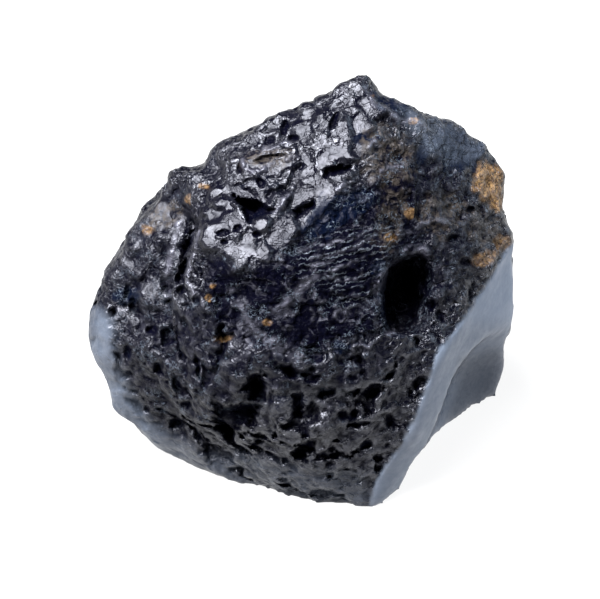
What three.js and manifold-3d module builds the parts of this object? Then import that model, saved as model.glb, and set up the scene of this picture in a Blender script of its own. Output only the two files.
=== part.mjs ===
// A rough blue sapphire: one natural, broken corundum fragment, resting on its flat underside.
//
// Frame: millimetres, +Z up, origin under the middle of the stone's box, at the plane that it rests on.
// The pitted front looks along -Y and a little up; the smooth fracture face looks along +X.
//
// The body starts as the convex hull of named corner points. It is cut into small triangles,
// rounded, stepped, scooped and raised into lumps, then cut flat underneath, and at last the
// deep pits are sunk into it.

import * as THREE from "three";
import { ConvexGeometry } from "three/addons/geometries/ConvexGeometry.js";
import { ImprovedNoise } from "three/addons/math/ImprovedNoise.js";
import { TessellateModifier } from "three/addons/modifiers/TessellateModifier.js";
import { mergeVertices } from "three/addons/utils/BufferGeometryUtils.js";
import Module from "manifold-3d";

const wasm = await Module();
wasm.setup();

// ---------------------------------------------------------------- driving dimensions, mm

const LEAN_DEG = 38; // how far the leaning frame, in which the front is laid out, tips up
const CENTRE_HEIGHT = 8; // height of the leaning frame's origin above the resting plane
const FACET_EDGE = 1.08; // longest triangle edge of the body
const ROUNDING_PASSES = 2; // how often the corners are worn before the relief is raised
const KEEN_REACH = 0.9; // how far from a keen edge the wear is full
const LEAST_WEAR = 0.3; // share of the wear that a keen edge has itself
const LUMP_SPACING = 2.3; // middle to middle of the melted-looking lumps
const LUMP_HEIGHT = 0.62; // crest of a lump over the creases around it
const LUMP_LEVEL = 0.55; // distance from a lump's middle at which it adds nothing, in spacings
const LUMP_JITTER = 0.9; // how far a lump's middle strays from its cell's, in spacings
const CALM = 0.8; // share of the lumps that the smooth face lacks
const SWELL_SPACING = 5.2; // the broad unevenness under the lumps
const SWELL_HEIGHT = 0.42;
const TERRACE_SPACING = 2.7; // from one growth step of the hidden side to the next
const TERRACE_HEIGHT = 0.6;
const TERRACE_RISE = 0.22; // share of a step that its riser takes
const TERRACE_WANDER = 0.6; // how far the steps stray from straight, in spacings
const UNDERCUT = 1.3; // how far the hull reaches below the resting plane before the flat cut
const OUTSIDE = 40; // a distance from the stone's middle that is clear of the stone

// ---------------------------------------------------------------- frames

const RAD = THREE.MathUtils.DEG2RAD;

// The leaning frame: u to the right, v up the front, w out of the front.
const leaning = new THREE.Matrix4()
  .makeRotationX((90 - LEAN_DEG) * RAD)
  .setPosition(0, 0, CENTRE_HEIGHT);
const upright = leaning.clone().invert();

const fromLeaning = ([u, v, w]) => new THREE.Vector3(u, v, w).applyMatrix4(leaning);
const toLeaning = (point) => point.clone().applyMatrix4(upright);

// ---------------------------------------------------------------- corner points

// The outline seen square on to the front, clockwise from the peak: [u, v, w].
const OUTLINE = [
  [3.2, 10.75, 3.3], // peak
  [4.1, 9.7, 2.4],
  [5.2, 8.8, 1.7], // shoulder
  [7.1, 8.2, 0.7],
  [9.05, 7.6, 0.1],
  [9.75, 6.4, -0.2],
  [9.6, 4.4, 0.0],
  [10.05, 2.7, 0.2], // right-hand end of the sharp edge
  [9.95, 0.4, -2.5],
  [9.75, -1.6, -4.3],
  [9.5, -3.6, -6.2],
  [-6.5, -6.4, -2.9],
  [-8.0, -4.8, -2.6],
  [-9.5, -3.4, -1.6],
  [-10.25, -1.3, -0.6], // left-hand end
  [-9.8, 0.35, 0.1],
  [-7.95, 2.25, 0.9],
  [-7.8, 4.5, 1.2],
  [-6.9, 6.1, 1.4],
  [-5.15, 6.35, 1.7],
  [-4.1, 7.2, 2.0],
  [-2.45, 7.9, 2.3],
  [0.0, 9.55, 2.8],
  [1.9, 10.5, 3.1],
];

// The sharp edge between the pitted front and the smooth right face, from the right end down.
const SHARP_EDGE = [
  [9.2, 1.5, 1.5],
  [8.05, -0.4, 2.7],
  [6.4, -3.0, 3.3],
  [5.6, -5.3, 2.6],
  [4.65, -7.1, 1.4],
  [3.55, -8.6, 0.1],
];

// What stands proud inside the outline.
const FRONT = [
  [-4.7, 3.1, 4.9], // left end of the brow
  [-3.5, 3.6, 5.4],
  [-1.4, 1.15, 6.4], // the bulge
  [0.95, 0.0, 6.2],
  [4.0, 2.0, 5.2],
  [1.6, 5.3, 5.5], // the ridge from the bulge up to the peak
  [3.0, 9.3, 4.0], // foot of the narrow face beside the peak
  [4.5, 8.6, 3.7],
  [5.7, 8.1, 3.1],
  [5.9, 4.7, 4.0], // upper right
  [7.6, 2.8, 2.6],
  [-2.4, -3.3, 5.0], // lower front
  [1.4, -4.75, 4.5],
  [3.8, -3.3, 4.3],
  [-4.7, -4.75, 2.6],
  [0.0, -7.1, 2.4],
  [2.4, -8.1, 0.9],
  [-2.8, -7.1, 1.0],
  [-7.1, -2.4, 2.4], // left flank
  [-8.3, 0.0, 1.9],
  [-7.1, 3.5, 2.4],
  [-5.9, -1.0, 3.6],
];

// The hidden side and the underside, in the part's own frame: [x, y, z].
const BACK = [
  [6.6, 7.8, 8.5],
  [-1.0, 8.3, 9.5],
  [-7.2, 5.0, 6.5],
  [2.6, 6.3, 15.2],
  [-2.6, 6.2, 12.6],
  [8.6, 5.2, 11.0],
];
const UNDERSIDE = [
  [3.4, -5.4], // front corner
  [0.5, -4.95],
  [-2.3, -3.5],
  [-4.6, -2.3],
  [-6.6, 4.2],
  [-1.5, 7.8],
  [7.6, 7.0],
  [9.3, 2.65], // right-hand corner
];

// ---------------------------------------------------------------- the body's faceted block

function cornerPoints() {
  const leaningCorners = [...OUTLINE, ...SHARP_EDGE, ...FRONT].map(fromLeaning);
  const backCorners = BACK.map(([x, y, z]) => new THREE.Vector3(x, y, z));
  const baseCorners = UNDERSIDE.map(([x, y]) => new THREE.Vector3(x, y, -UNDERCUT));
  return [...leaningCorners, ...backCorners, ...baseCorners];
}

// A geometry with position only and its shared vertices merged.
function welded(geometry) {
  const plain = geometry.index ? geometry.toNonIndexed() : geometry.clone();
  plain.deleteAttribute("normal");
  plain.deleteAttribute("uv");
  return mergeVertices(plain, 1e-4);
}

function faceted(points) {
  const block = new ConvexGeometry(points);
  return welded(new TessellateModifier(FACET_EDGE, 40).modify(block));
}

// Distance from a point to the nearest of a line's segments.
function distanceToLine(point, line) {
  const nearest = new THREE.Vector3();
  const distances = line.slice(1).map((end, i) =>
    new THREE.Line3(line[i], end).closestPointToPoint(point, true, nearest).distanceTo(point),
  );
  return Math.min(...distances);
}

// The edges that have stayed keen: the front's sharp edge, and the crest on either side of the peak.
const KEEN_EDGES = [
  [...SHARP_EDGE, [3.4, -9.4, -1.0]].map(fromLeaning),
  [...OUTLINE.slice(-2), ...OUTLINE.slice(0, 3)].map(fromLeaning),
];

function neighboursOf(geometry) {
  const around = Array.from({ length: geometry.attributes.position.count }, () => new Set());
  const index = geometry.index.array;
  for (let i = 0; i < index.length; i += 3) {
    for (let k = 0; k < 3; k += 1) {
      const a = index[i + k];
      const b = index[i + ((k + 1) % 3)];
      around[a].add(b);
      around[b].add(a);
    }
  }
  return around;
}

// Wears the corners: each vertex goes half way to the middle of its neighbours, less near a keen edge.
function rounded(geometry, passes) {
  const position = geometry.attributes.position;
  const around = neighboursOf(geometry);
  for (let pass = 0; pass < passes; pass += 1) {
    const before = Array.from({ length: position.count }, (_, i) =>
      new THREE.Vector3().fromBufferAttribute(position, i),
    );
    before.forEach((point, i) => {
      const middle = new THREE.Vector3();
      around[i].forEach((j) => middle.add(before[j]));
      middle.divideScalar(around[i].size);
      const clear = Math.min(...KEEN_EDGES.map((edge) => distanceToLine(point, edge)));
      const wear = Math.min(1, LEAST_WEAR + clear / KEEN_REACH);
      const worn = point.clone().lerp(middle, 0.5 * wear);
      position.setXYZ(i, worn.x, worn.y, worn.z);
    });
  }
  return geometry;
}

// ---------------------------------------------------------------- relief

const perlin = new ImprovedNoise();
const noiseAt = (p, spacing, seed) =>
  perlin.noise(p.x / spacing + seed, p.y / spacing + 1.7 * seed, p.z / spacing - seed);

// The random point of one cell of a cubic grid, in cells.
function cellPoint(i, j, k) {
  const stray = (seed) =>
    LUMP_JITTER * perlin.noise(i * 0.73 + seed, j * 0.59 - seed, k * 0.67 + 2 * seed);
  return new THREE.Vector3(i + 0.5 + stray(3.1), j + 0.5 + stray(7.7), k + 0.5 + stray(12.3));
}

// Distance from a point to the nearest cell point, in cells.
function nearestCell(p, spacing) {
  const q = p.clone().divideScalar(spacing);
  let least = Infinity;
  for (let i = -1; i <= 1; i += 1) {
    for (let j = -1; j <= 1; j += 1) {
      for (let k = -1; k <= 1; k += 1) {
        const cell = cellPoint(Math.floor(q.x) + i, Math.floor(q.y) + j, Math.floor(q.z) + k);
        least = Math.min(least, q.distanceTo(cell));
      }
    }
  }
  return least;
}

const smooth = (low, high, x) => THREE.MathUtils.smoothstep(x, low, high);

// Where a line that runs down the front, given from its top end, stands at a height v.
function crossing(line, v) {
  const next = line.findIndex((corner) => corner[1] < v);
  if (next === 0) return line[0][0];
  if (next < 0) return line.at(-1)[0];
  const [u0, v0] = line[next - 1];
  const [u1, v1] = line[next];
  return THREE.MathUtils.mapLinear(v, v0, v1, u0, u1);
}

// The smooth right face: 1 on it, 0 elsewhere. It lies right of the sharp edge in the leaning frame.
const SMOOTH_FACE_EDGE = [OUTLINE[7], ...SHARP_EDGE, [3.4, -9.4, -1.0]];
const onSmoothFace = (q) => (q.y > 2.7 ? 0 : smooth(-0.1, 0.7, q.x - crossing(SMOOTH_FACE_EDGE, q.y)));

// The ledge on the left: the flank behind the brow lies lower than the bulge. The brink is [u, v].
const LEDGE = { drop: 1.5, foot: 1.2, level: 1.4, fade: 3.9, top: 6.6, bottom: -3.4 };
const BRINK = [
  [-4.75, LEDGE.top],
  [-4.9, 3.3],
  [-5.75, 1.1],
  [-6.1, 0.2],
  [-6.0, -1.4],
  [-5.4, LEDGE.bottom],
];
function ledgeDrop(q) {
  const past = crossing(BRINK, q.y) - q.x;
  if (q.z < 0 || past < 0) return 0;
  const below = smooth(LEDGE.bottom, LEDGE.bottom + 2.4, q.y);
  const above = 1 - smooth(LEDGE.top - 2.4, LEDGE.top, q.y);
  const across = smooth(0, LEDGE.foot, past) * (1 - smooth(LEDGE.level, LEDGE.fade, past));
  return LEDGE.drop * below * above * across;
}

// Growth steps run across the hidden side: each rises quickly and falls away slowly.
const TERRACE_AXIS = new THREE.Vector3(0.5, 0.15, 0.85).normalize();
function terrace(p, q) {
  const hidden = 1 - smooth(-3.0, -0.5, q.z);
  const turns = p.dot(TERRACE_AXIS) / TERRACE_SPACING + TERRACE_WANDER * noiseAt(p, 4.1, 5.2);
  const share = turns - Math.floor(turns);
  return hidden * TERRACE_HEIGHT * (smooth(0, TERRACE_RISE, share) - share);
}

// How far the surface stands above the block at a point.
function relief(p) {
  const q = toLeaning(p);
  const calm = 1 - CALM * onSmoothFace(q);
  const lump = LUMP_LEVEL - nearestCell(p, LUMP_SPACING);
  const swell = noiseAt(p, SWELL_SPACING, 0.4);
  return calm * (LUMP_HEIGHT * lump + terrace(p, q)) + SWELL_HEIGHT * swell - ledgeDrop(q);
}

// Scoops left by chips that flew off: balls that bite into the surface.
const SCOOPS = [
  { at: new THREE.Vector3(12.0, -2.9, 1.4), radius: 6.2 }, // hollow of the smooth face
  { at: new THREE.Vector3(14.1, -5.6, -2.0), radius: 9.65 }, // the smooth face's foot
  { at: new THREE.Vector3(-6.2, 12.6, 14.0), radius: 7.0 },
  { at: new THREE.Vector3(8.6, 13.2, 4.4), radius: 6.4 },
  { at: new THREE.Vector3(-13.2, 3.6, 1.6), radius: 6.6 },
  { at: fromLeaning([7.0, 12.3, 1.6]), radius: 3.85 }, // narrow face beside the peak
  { at: fromLeaning([12.1, 4.5, 0.0]), radius: 2.65 },
  { at: fromLeaning([-3.5, 9.6, 2.2]), radius: 2.2 }, // nicks of the upper left outline
  { at: fromLeaning([-5.55, 7.65, 1.9]), radius: 1.45 },
  { at: fromLeaning([-11.0, 3.6, 0.9]), radius: 3.0 },
];

function raised(geometry) {
  const position = geometry.attributes.position;
  const middle = new THREE.Vector3(0, 0, CENTRE_HEIGHT);
  for (let i = 0; i < position.count; i += 1) {
    const point = new THREE.Vector3().fromBufferAttribute(position, i);
    const outward = point.clone().sub(middle).normalize();
    point.addScaledVector(outward, relief(point));
    for (const { at, radius } of SCOOPS) {
      const bite = radius - point.distanceTo(at);
      if (bite > 0) point.addScaledVector(point.clone().sub(at).normalize(), bite);
    }
    position.setXYZ(i, point.x, point.y, point.z);
  }
  return geometry;
}

// ---------------------------------------------------------------- solids

function solidOf(geometry) {
  const plain = welded(geometry);
  return new wasm.Manifold(
    new wasm.Mesh({
      numProp: 3,
      vertProperties: plain.attributes.position.array,
      triVerts: new Uint32Array(plain.index.array),
    }),
  );
}

function geometryOf(solid) {
  const mesh = solid.getMesh();
  const geometry = new THREE.BufferGeometry();
  geometry.setAttribute("position", new THREE.BufferAttribute(new Float32Array(mesh.vertProperties), 3));
  geometry.setIndex(new THREE.BufferAttribute(new Uint32Array(mesh.triVerts), 1));
  return geometry;
}

// The block of ground that leaves the underside flat at z = 0.
function ground() {
  const side = 60;
  return new THREE.BoxGeometry(side, side, side).translate(0, 0, -side / 2);
}

// ---------------------------------------------------------------- pits

// Deep pits in the front, laid out in the leaning frame: where, half width and half height
// of the mouth, how the mouth is turned, and the depth, mm and degrees.
const FRONT_PITS = [
  { u: -2.35, v: 4.5, across: 0.95, along: 0.5, turn: -16, depth: 2.2 }, // hollow under the brow
  { u: -2.1, v: 4.0, across: 0.35, along: 0.45, turn: 30, depth: 1.7 },
  { u: 1.8, v: 6.1, across: 0.7, along: 0.25, turn: 18, depth: 1.3 },
  { u: 0.2, v: 4.4, across: 0.5, along: 0.2, turn: 25, depth: 1.0 },
  { u: -0.45, v: 5.6, across: 0.65, along: 0.18, turn: 55, depth: 0.9 },
  { u: 5.05, v: 0.75, across: 1.1, along: 1.5, turn: -20, depth: 3.4 }, // the great cavity
  { u: 4.95, v: -0.7, across: 1.15, along: 0.95, turn: 10, depth: 2.4 },
  { u: -2.0, v: -4.2, across: 0.38, along: 0.72, turn: 8, depth: 1.6 },
  { u: -0.1, v: -5.1, across: 0.28, along: 0.6, turn: 3, depth: 1.5 },
  { u: -3.45, v: -6.2, across: 0.55, along: 0.6, turn: 35, depth: 1.4 },
  { u: -2.6, v: -5.3, across: 0.95, along: 0.36, turn: -8, depth: 1.4 },
  { u: 0.15, v: -7.15, across: 0.55, along: 0.28, turn: 28, depth: 1.2 },
  { u: -3.85, v: -2.7, across: 0.28, along: 0.55, turn: 10, depth: 0.9 },
  { u: -3.6, v: -1.75, across: 0.52, along: 0.2, turn: -10, depth: 0.9 },
  { u: -0.8, v: -3.2, across: 0.72, along: 0.24, turn: -24, depth: 1.1 },
  { u: 1.25, v: -4.4, across: 0.5, along: 0.2, turn: 12, depth: 1.0 },
  { u: 1.3, v: -7.7, across: 0.3, along: 0.3, turn: 0, depth: 0.9 },
  { u: -5.45, v: 2.3, across: 0.2, along: 0.9, turn: -18, depth: 1.2 }, // cleft at the ledge's foot
];

// Pits scattered over the hidden sides, on a spiral so that they are evenly spread.
const HIDDEN_PITS = { count: 60, across: 0.62, along: 0.4, depth: 0.95 };
const PITS_MIDDLE = new THREE.Vector3(0.5, 1.2, 7.5); // what the hidden pits point at
const PIT_UNEVENNESS = 0.34; // of a pit's wall, in its radii
const FINE_MOUTH = 0.4; // half width times half height from which a pit's wall is cut finer, mm2
const GOLDEN_ANGLE = Math.PI * (3 - Math.sqrt(5));

// A pit's cutter: a ball of unit radius with an uneven wall.
function cutter(seed, detail) {
  const ball = welded(new THREE.IcosahedronGeometry(1, detail));
  const position = ball.attributes.position;
  for (let i = 0; i < position.count; i += 1) {
    const point = new THREE.Vector3().fromBufferAttribute(position, i);
    point.multiplyScalar(1 + PIT_UNEVENNESS * noiseAt(point, 0.9, seed));
    position.setXYZ(i, point.x, point.y, point.z);
  }
  return ball;
}

// Where a ray from outside first meets the body.
function surfaceHit(body, from, direction) {
  const ray = new THREE.Raycaster(from, direction);
  return ray.intersectObject(body)[0]?.point;
}

function frontPitCutters(body) {
  const inward = fromLeaning([0, 0, -1]).sub(fromLeaning([0, 0, 0]));
  return FRONT_PITS.map(({ u, v, across, along, turn, depth }, i) => {
    const mouth = surfaceHit(body, fromLeaning([u, v, OUTSIDE]), inward);
    const { z: w } = toLeaning(mouth);
    return cutter(i + 0.37, across * along > FINE_MOUTH ? 2 : 1)
      .scale(across, along, depth)
      .rotateZ(turn * RAD)
      .translate(u, v, w)
      .applyMatrix4(leaning);
  });
}

function hiddenPitCutters(body) {
  const toFront = fromLeaning([0, 0, 1]).sub(fromLeaning([0, 0, 0]));
  const cutters = [];
  for (let i = 0; i < HIDDEN_PITS.count; i += 1) {
    const height = 1 - (2 * (i + 0.5)) / HIDDEN_PITS.count;
    const flat = Math.sqrt(1 - height * height);
    const outward = new THREE.Vector3(
      flat * Math.cos(i * GOLDEN_ANGLE),
      flat * Math.sin(i * GOLDEN_ANGLE),
      height,
    );
    const onFront = outward.dot(toFront) > 0.05;
    const onSmoothSide = outward.x > 0.75;
    if (onFront || onSmoothSide || height < -0.45) continue;
    const size = 0.8 + 0.5 * Math.sin(i * 2.3);
    const from = PITS_MIDDLE.clone().addScaledVector(outward, OUTSIDE);
    const mouth = surfaceHit(body, from, outward.clone().negate());
    const turned = new THREE.Quaternion().setFromUnitVectors(new THREE.Vector3(0, 0, 1), outward);
    cutters.push(
      cutter(i + 20.6, 1)
        .scale(HIDDEN_PITS.across * size, HIDDEN_PITS.along * size, HIDDEN_PITS.depth * size)
        .rotateZ(i * 1.9)
        .applyQuaternion(turned)
        .translate(mouth.x, mouth.y, mouth.z),
    );
  }
  return cutters;
}

// ---------------------------------------------------------------- the part

function stoneGeometry() {
  const block = rounded(faceted(cornerPoints()), ROUNDING_PASSES);
  const body = new THREE.Mesh(raised(block));
  const cutters = [ground(), ...frontPitCutters(body), ...hiddenPitCutters(body)];
  const stone = cutters.reduce((solid, tool) => solid.subtract(solidOf(tool)), solidOf(body.geometry));
  return geometryOf(stone);
}

// Puts the origin under the middle of the geometry's box.
function centred(geometry) {
  geometry.computeBoundingBox();
  const { x, y } = geometry.boundingBox.getCenter(new THREE.Vector3());
  return geometry.translate(-x, -y, 0);
}

const sapphire = new THREE.Mesh(
  centred(stoneGeometry()),
  new THREE.MeshStandardMaterial({ color: 0x0b1020, roughness: 0.3, metalness: 0 }),
);
sapphire.name = "sapphire";

const part = new THREE.Group();
part.add(sapphire);

export default part;
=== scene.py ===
"""A rough blue sapphire on a white floor, in soft studio light from above."""

import math
from collections import namedtuple

import bmesh
import bpy
import numpy as np
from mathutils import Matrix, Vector
from mathutils.bvhtree import BVHTree


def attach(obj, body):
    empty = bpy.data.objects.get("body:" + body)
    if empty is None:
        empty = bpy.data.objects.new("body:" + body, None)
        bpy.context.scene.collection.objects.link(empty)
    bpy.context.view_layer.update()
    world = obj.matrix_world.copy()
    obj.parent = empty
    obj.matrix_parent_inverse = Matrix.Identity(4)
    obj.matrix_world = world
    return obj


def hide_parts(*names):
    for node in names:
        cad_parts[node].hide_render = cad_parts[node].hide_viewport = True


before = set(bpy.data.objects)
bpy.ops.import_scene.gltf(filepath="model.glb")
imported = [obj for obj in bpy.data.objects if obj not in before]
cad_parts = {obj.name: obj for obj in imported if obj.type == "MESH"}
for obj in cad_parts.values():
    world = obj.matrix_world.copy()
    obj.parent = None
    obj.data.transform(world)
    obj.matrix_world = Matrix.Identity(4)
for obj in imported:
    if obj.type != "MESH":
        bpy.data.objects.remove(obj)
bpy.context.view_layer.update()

# ---------------- the picture's view

MM = 0.001
PICTURE = (600, 599)  # pixels
PIXELS_PER_MM = 21.15  # at the stone
ELEVATION = math.radians(38)
DISTANCE = 280.0  # mm from the camera to the point it looks at
PICTURE_MIDDLE = np.array([-0.005, -1.09, 8.0])  # mm, what the middle pixel shows
SENSOR = 36.0  # mm
CLIP_START, CLIP_END = 0.01, 10  # m, nearest and farthest that the camera shows

RIGHT = np.array([1.0, 0.0, 0.0])
UP = np.array([0.0, math.sin(ELEVATION), math.cos(ELEVATION)])
TOWARDS = np.array([0.0, -math.cos(ELEVATION), math.sin(ELEVATION)])  # to the camera


def add_camera():
    camera = bpy.data.objects.new("camera", bpy.data.cameras.new("camera"))
    bpy.context.collection.objects.link(camera)
    camera.location = Vector((PICTURE_MIDDLE + TOWARDS * DISTANCE) * MM)
    camera.rotation_euler = (math.pi / 2 - ELEVATION, 0, 0)
    camera.data.sensor_width = SENSOR
    camera.data.lens = SENSOR * DISTANCE * PIXELS_PER_MM / PICTURE[0]
    camera.data.clip_start = CLIP_START
    camera.data.clip_end = CLIP_END
    bpy.context.scene.camera = camera


def in_picture(points):
    """Pixel x and y of points in mm."""
    away = points - PICTURE_MIDDLE
    scale = PIXELS_PER_MM * DISTANCE / (DISTANCE - away @ TOWARDS)
    return PICTURE[0] / 2 + away @ RIGHT * scale, PICTURE[1] / 2 - away @ UP * scale


# ---------------- meshes as arrays

VOXEL = 0.26  # mm, size of the stone's quads; a half or a quarter of it in front
BASE_REACH = 0.03  # mm, what lies lower than this is the flat underside
RAY_START = 0.12  # mm along a ray, so that it doesn't meet the face that it starts from


def remeshed(source):
    """An even quad mesh with the source's shape, as a new object."""
    mesh = source.data.copy()
    stone = bpy.data.objects.new("sapphire_stone", mesh)
    bpy.context.collection.objects.link(stone)
    modifier = stone.modifiers.new("even", "REMESH")
    modifier.mode = "VOXEL"
    modifier.voxel_size = VOXEL * MM
    graph = bpy.context.evaluated_depsgraph_get()
    stone.data = bpy.data.meshes.new_from_object(stone.evaluated_get(graph))
    stone.modifiers.clear()
    stone.data.materials.clear()
    return stone


def array_of(items, name, width=1, kind=float):
    """One property of all the items as an array, with as many columns as width says."""
    values = np.empty(len(items) * width, dtype=kind)
    items.foreach_get(name, values)
    return values if width == 1 else values.reshape(-1, width)


def points_of(mesh):
    return array_of(mesh.vertices, "co", 3) / MM


def put_points(mesh, points):
    mesh.vertices.foreach_set("co", (points * MM).ravel())
    mesh.update()


def put_values(mesh, name, values):
    layer = mesh.attributes.get(name) or mesh.attributes.new(name, "FLOAT", "POINT")
    layer.data.foreach_set("value", values)


def values_of(mesh, name):
    return array_of(mesh.attributes[name].data, "value")


class Neighbours:
    """Averages a vertex quantity over each vertex's neighbours."""

    def __init__(self, mesh):
        self.a, self.b = array_of(mesh.edges, "vertices", 2, int).T
        self.size = len(mesh.vertices)
        self.degree = self.total(np.ones(self.size))

    def spacing(self, points):
        """Each vertex's mean distance from its neighbours."""
        length = np.linalg.norm(points[self.a] - points[self.b], axis=1)
        total = np.bincount(self.a, length, self.size) + np.bincount(self.b, length, self.size)
        return total / self.degree

    def total(self, values):
        """The sum of each vertex's neighbours' values."""
        ahead = np.bincount(self.a, values[self.b], self.size)
        return ahead + np.bincount(self.b, values[self.a], self.size)

    def mean(self, values):
        if values.ndim == 1:
            return self.total(values) / self.degree
        return np.stack([self.total(column) / self.degree for column in values.T], axis=1)

    def smooth(self, values, passes, amount=0.5):
        """amount is one number, or one for each vertex."""
        amount = np.broadcast_to(amount, self.size)
        if values.ndim > 1:
            amount = amount[:, None]
        for _ in range(passes):
            values = values + (self.mean(values) - values) * amount
        return values


def seen_from_camera(mesh, points):
    """1 for each point that the camera sees, else 0."""
    tree = BVHTree.FromPolygons(
        [Vector(p) for p in points], [tuple(face.vertices) for face in mesh.polygons]
    )
    camera = Vector(PICTURE_MIDDLE + TOWARDS * DISTANCE)
    seen = np.zeros(len(points))
    for i, point in enumerate(points):
        point = Vector(point)
        ray = (camera - point).normalized()
        seen[i] = tree.ray_cast(point + ray * RAY_START, ray)[0] is None
    return seen


def refine(mesh, wanted):
    """Cuts each face whose vertices are all wanted into four."""
    work = bmesh.new()
    work.from_mesh(mesh)
    chosen = [f for f in work.faces if all(wanted[v.index] for v in f.verts)]
    edges = list({edge for face in chosen for edge in face.edges})
    bmesh.ops.subdivide_edges(work, edges=edges, cuts=1, use_grid_fill=True)
    bmesh.ops.triangulate(work, faces=[f for f in work.faces if len(f.verts) > 4])
    work.to_mesh(mesh)
    work.free()
    mesh.update()


# ---------------- noise

PERLIN_SPREAD = 1.6  # brings the noise to about -1 to 1
CELL_JITTER = 0.9  # how far a cell's point strays over its cell, 1 for all of it

DRAW = np.random.default_rng(11)
ORDER = DRAW.permutation(256)
CHANCES = DRAW.random((256, 7)) - 0.5
SLOPES = DRAW.normal(size=(256, 3))
SLOPES /= np.linalg.norm(SLOPES, axis=1)[:, None]


def smoothstep(low, high, x):
    """0 up to low, 1 from high, smooth between."""
    t = np.clip((x - low) / (high - low), 0, 1)
    return t * t * (3 - 2 * t)


def drawn(cells, seed):
    """A number from 0 to 255 for each cell of a cubic grid, as if drawn at random."""
    i, j, k = (cells + seed * np.array([17, 31, 47])).astype(int).T & 255
    return ORDER[(ORDER[(ORDER[i] + j) & 255] + k) & 255]


def perlin(points, spacing, seed):
    """Noise from about -1 to 1 with bumps of the given spacing in mm."""
    place = points / spacing
    cells = np.floor(place)
    inner = place - cells
    fade = inner**3 * (inner * (inner * 6 - 15) + 10)
    total = np.zeros(len(points))
    for corner in np.ndindex(2, 2, 2):
        share = np.prod(np.where(corner, fade, 1 - fade), axis=1)
        total += share * ((inner - corner) * SLOPES[drawn(cells + corner, seed)]).sum(1)
    return PERLIN_SPREAD * total


def fractal(points, spacing, seed, octaves, keep=0.5):
    """Noise with finer and finer noise on it, each octave keep times as high as the last."""
    return sum(keep**k * perlin(points, spacing / 2**k, seed + k) for k in range(octaves))


def ridged(points, spacing, seed, octaves=3, keep=0.6):
    """Like fractal, with sharp crests."""
    layers = range(octaves)
    return sum(keep**k * (0.5 - 2 * abs(perlin(points, spacing / 2**k, seed + k))) for k in layers)


def warped(points, spacing, seed, amount):
    """The points pushed about by noise, so that what is drawn with them looks melted."""
    push = [perlin(points, spacing, seed + 10 * k) for k in range(3)]
    return points + amount * np.stack(push, axis=1)


def cells_around(points, spacing, seed):
    """For each of the 27 cells round each point: the way from the cell's own random point, in
    spacings, and four more random numbers from -0.5 to 0.5."""
    place = points / spacing
    cells = np.floor(place)
    for step in np.ndindex(3, 3, 3):
        cell = cells + step - 1
        chances = CHANCES[drawn(cell, seed)]
        yield place - cell - 0.5 - CELL_JITTER * chances[:, :3], chances[:, 3:]


def pillows(points, spacing, seed, lean, bulge, crease, fall):
    """Bumps side by side with creases between them, each leaning its own way. About -1 to 1.
    Little bulge and much lean make them facets. The greater crease is, the sharper the creases
    are. fall is a slope that they all share."""
    total = 0
    for away, chances in cells_around(points, spacing, seed):
        slopes = 2 * lean * chances[:, 1:] - fall
        height = chances[:, 0] + (away * slopes).sum(1) - bulge * (away**2).sum(1)
        total += np.exp(crease * height)
    return np.log(total) / crease


# ---------------- shapes in the picture

# A part of the picture: its outline, and how many pixels either side of it the part fades in.
Region = namedtuple("Region", "soft outline")


def line_distance(x, y, corners):
    """Distance in pixels from a line through the corners."""
    least = np.full(len(x), np.inf)
    for (x0, y0), (x1, y1) in zip(corners, corners[1:]):
        run, rise = x1 - x0, y1 - y0
        share = np.clip(((x - x0) * run + (y - y0) * rise) / (run**2 + rise**2), 0, 1)
        least = np.minimum(least, np.hypot(x - x0 - share * run, y - y0 - share * rise))
    return least


def depth_inside(x, y, corners):
    """Distance in pixels from the outline through the corners, negative outside it."""
    odd = np.zeros(len(x), dtype=bool)
    for (x0, y0), (x1, y1) in zip(corners, corners[1:] + corners[:1]):
        crosses = (y0 > y) != (y1 > y)
        drop = y1 - y0 or 1  # a level side is never crossed, so there any number will do
        odd ^= crosses & (x < x0 + (y - y0) * (x1 - x0) / drop)
    distance = line_distance(x, y, corners + corners[:1])
    return np.where(odd, distance, -distance)


def inside(x, y, region):
    """1 well inside the region, 0 well outside."""
    return smoothstep(-region.soft, region.soft, depth_inside(x, y, region.outline))


def oval(x, y, place, half, turn):
    """Distance from the middle of an oval: 0 there, 1 on its rim. turn lifts its right end, in
    degrees."""
    away_x, away_y = x - place[0], place[1] - y
    cosine, sine = math.cos(math.radians(turn)), math.sin(math.radians(turn))
    along = away_x * cosine + away_y * sine
    across = away_y * cosine - away_x * sine
    return np.hypot(along / half[0], across / half[1])


# ---------------- the front, in picture pixels

# The smooth fracture face on the right, and the sharp edge that bounds it.
SHARP_EDGE = [(514, 240), (495, 268), (483, 288), (470, 308), (455, 330), (438, 349),
              (431, 372), (417, 411), (398, 448), (376, 480), (368, 510)]
EDGE_KEPT, EDGE_FREE = 5, 14  # pixels from it: hardly smoothed up to here, fully from here
EDGE_FINE = 12  # pixels from it up to which the smooth face has a fine mesh too
SMOOTH_FACE = Region(2, SHARP_EDGE + [(400, 560), (600, 500), (600, 230)])

# The smooth, worn rim along the lower left, made paler by a painted reflection of the floor, and the
# two parts of the smooth face that are painted darker as painted shade.
SMOOTH_RIM_PAINTED_SHEEN = Region(7, [(60, 296), (96, 308), (112, 318), (120, 366), (136, 396), (154, 420),
                      (178, 438), (200, 450), (232, 462), (250, 560), (60, 560)])
HOLLOW = Region(12, [(455, 356), (480, 345), (520, 340), (520, 440), (450, 440), (436, 415),
                     (450, 385)])
SHADED_FACE = Region(14, [(452, 322), (530, 326), (530, 520), (350, 520), (395, 440), (425, 380)])

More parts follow.
